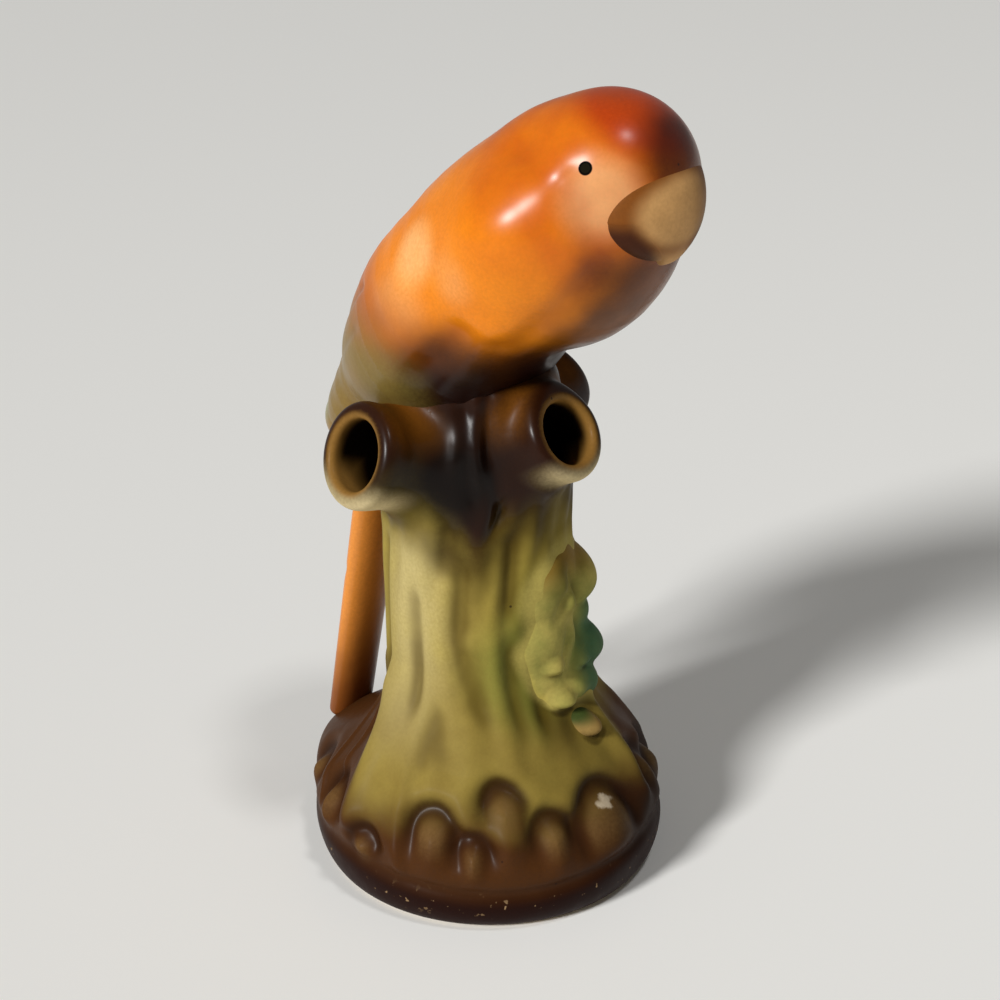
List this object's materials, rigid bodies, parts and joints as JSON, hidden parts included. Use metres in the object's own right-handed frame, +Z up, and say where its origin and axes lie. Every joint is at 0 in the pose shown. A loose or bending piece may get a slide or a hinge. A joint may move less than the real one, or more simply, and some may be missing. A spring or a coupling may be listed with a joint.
{
  "type": "ceramic parrot figurine",
  "caption": "Glazed ceramic parrot perched on a hollow tree stump whose open branch stubs hold flower stems.",
  "frame": {"origin": "where the trunk axis meets the plane of the flat foot", "axes": "+Z up along the trunk, the bird faces -Y, its right side is -X"},
  "size_m": [0.0648, 0.0799, 0.143],
  "materials": {
    "base_glaze": "dark brown gloss glaze",
    "bark_glaze": "khaki and olive airbrushed glaze, satin gloss",
    "crown_glaze": "dark brown gloss glaze, amber on the high spots",
    "stub_glaze": "brown gloss glaze, tan inside",
    "body_glaze": "orange airbrushed gloss glaze",
    "head_glaze": "orange-red gloss glaze, dark on the forehead",
    "beak_glaze": "tan gloss glaze",
    "lower_beak_glaze": "brown gloss glaze",
    "tail_glaze": "orange-brown gloss glaze",
    "leaf_glaze": "olive yellow gloss glaze with green edges",
    "berry_glaze": "yellow green gloss glaze",
    "bud_glaze": "green gloss glaze"
  },
  "bodies": {
    "root": {"root_base": "base_glaze", "trunk": "bark_glaze", "stump_crown": "crown_glaze", "right_branch_stub": "stub_glaze", "left_branch_stub": "stub_glaze", "front_branch_stub": "stub_glaze", "parrot_body": "body_glaze", "parrot_head": "head_glaze", "upper_beak": "beak_glaze", "lower_beak": "lower_beak_glaze", "tail": "tail_glaze", "upper_leaf": "leaf_glaze", "lower_leaf": "leaf_glaze", "left_berry": "berry_glaze", "right_berry": "berry_glaze", "low_berry": "berry_glaze", "bud": "bud_glaze"}
  },
  "joints": []
}
